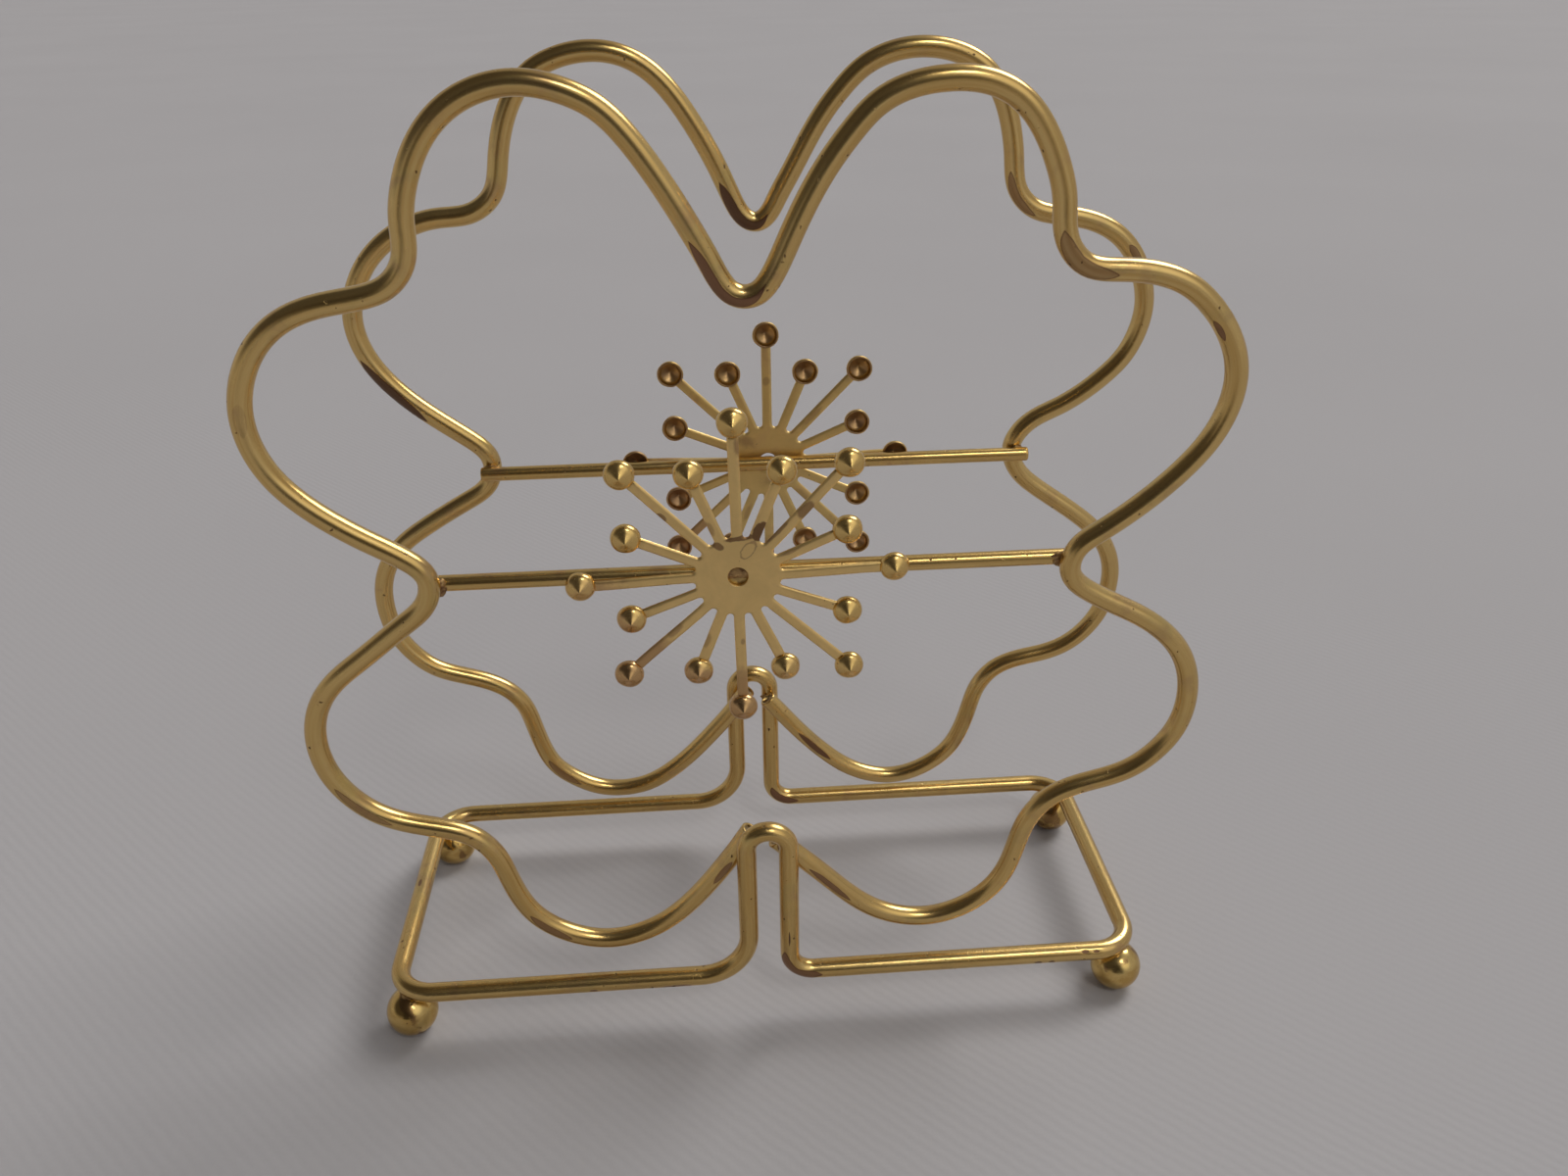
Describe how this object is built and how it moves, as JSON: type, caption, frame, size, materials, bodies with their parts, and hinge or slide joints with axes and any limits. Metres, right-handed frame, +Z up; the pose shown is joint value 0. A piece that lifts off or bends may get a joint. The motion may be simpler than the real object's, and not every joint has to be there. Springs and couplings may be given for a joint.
{
  "type": "wire napkin holder",
  "caption": "Free-standing welded wire holder: flower-outline frames face each other on a footed wire base and keep napkins, letters or a small plate upright between them.",
  "frame": {"origin": "middle of the base rectangle, on the plane the feet stand on", "axes": "+Z up, +X to the right seen from the front along the long side of the base, +Y from the front frame to the rear frame"},
  "size_m": [0.1731, 0.0658, 0.1908],
  "materials": {
    "wire_brass": "drawn brass wire, polished and lightly tarnished",
    "rod_brass": "thin drawn brass rod, satin, darkened at the weld ends",
    "sheet_brass": "stamped brass sheet, satin, with copper-coloured tarnish",
    "foot_brass": "polished brass ball"
  },
  "bodies": {
    "root": {"base_frame": "wire_brass", "front_flower_frame": "wire_brass", "rear_flower_frame": "wire_brass", "front_cross_rod": "rod_brass", "rear_cross_rod": "rod_brass", "front_starburst": "sheet_brass", "rear_starburst": "sheet_brass", "front_left_foot": "foot_brass", "front_right_foot": "foot_brass", "rear_left_foot": "foot_brass", "rear_right_foot": "foot_brass"}
  },
  "joints": []
}
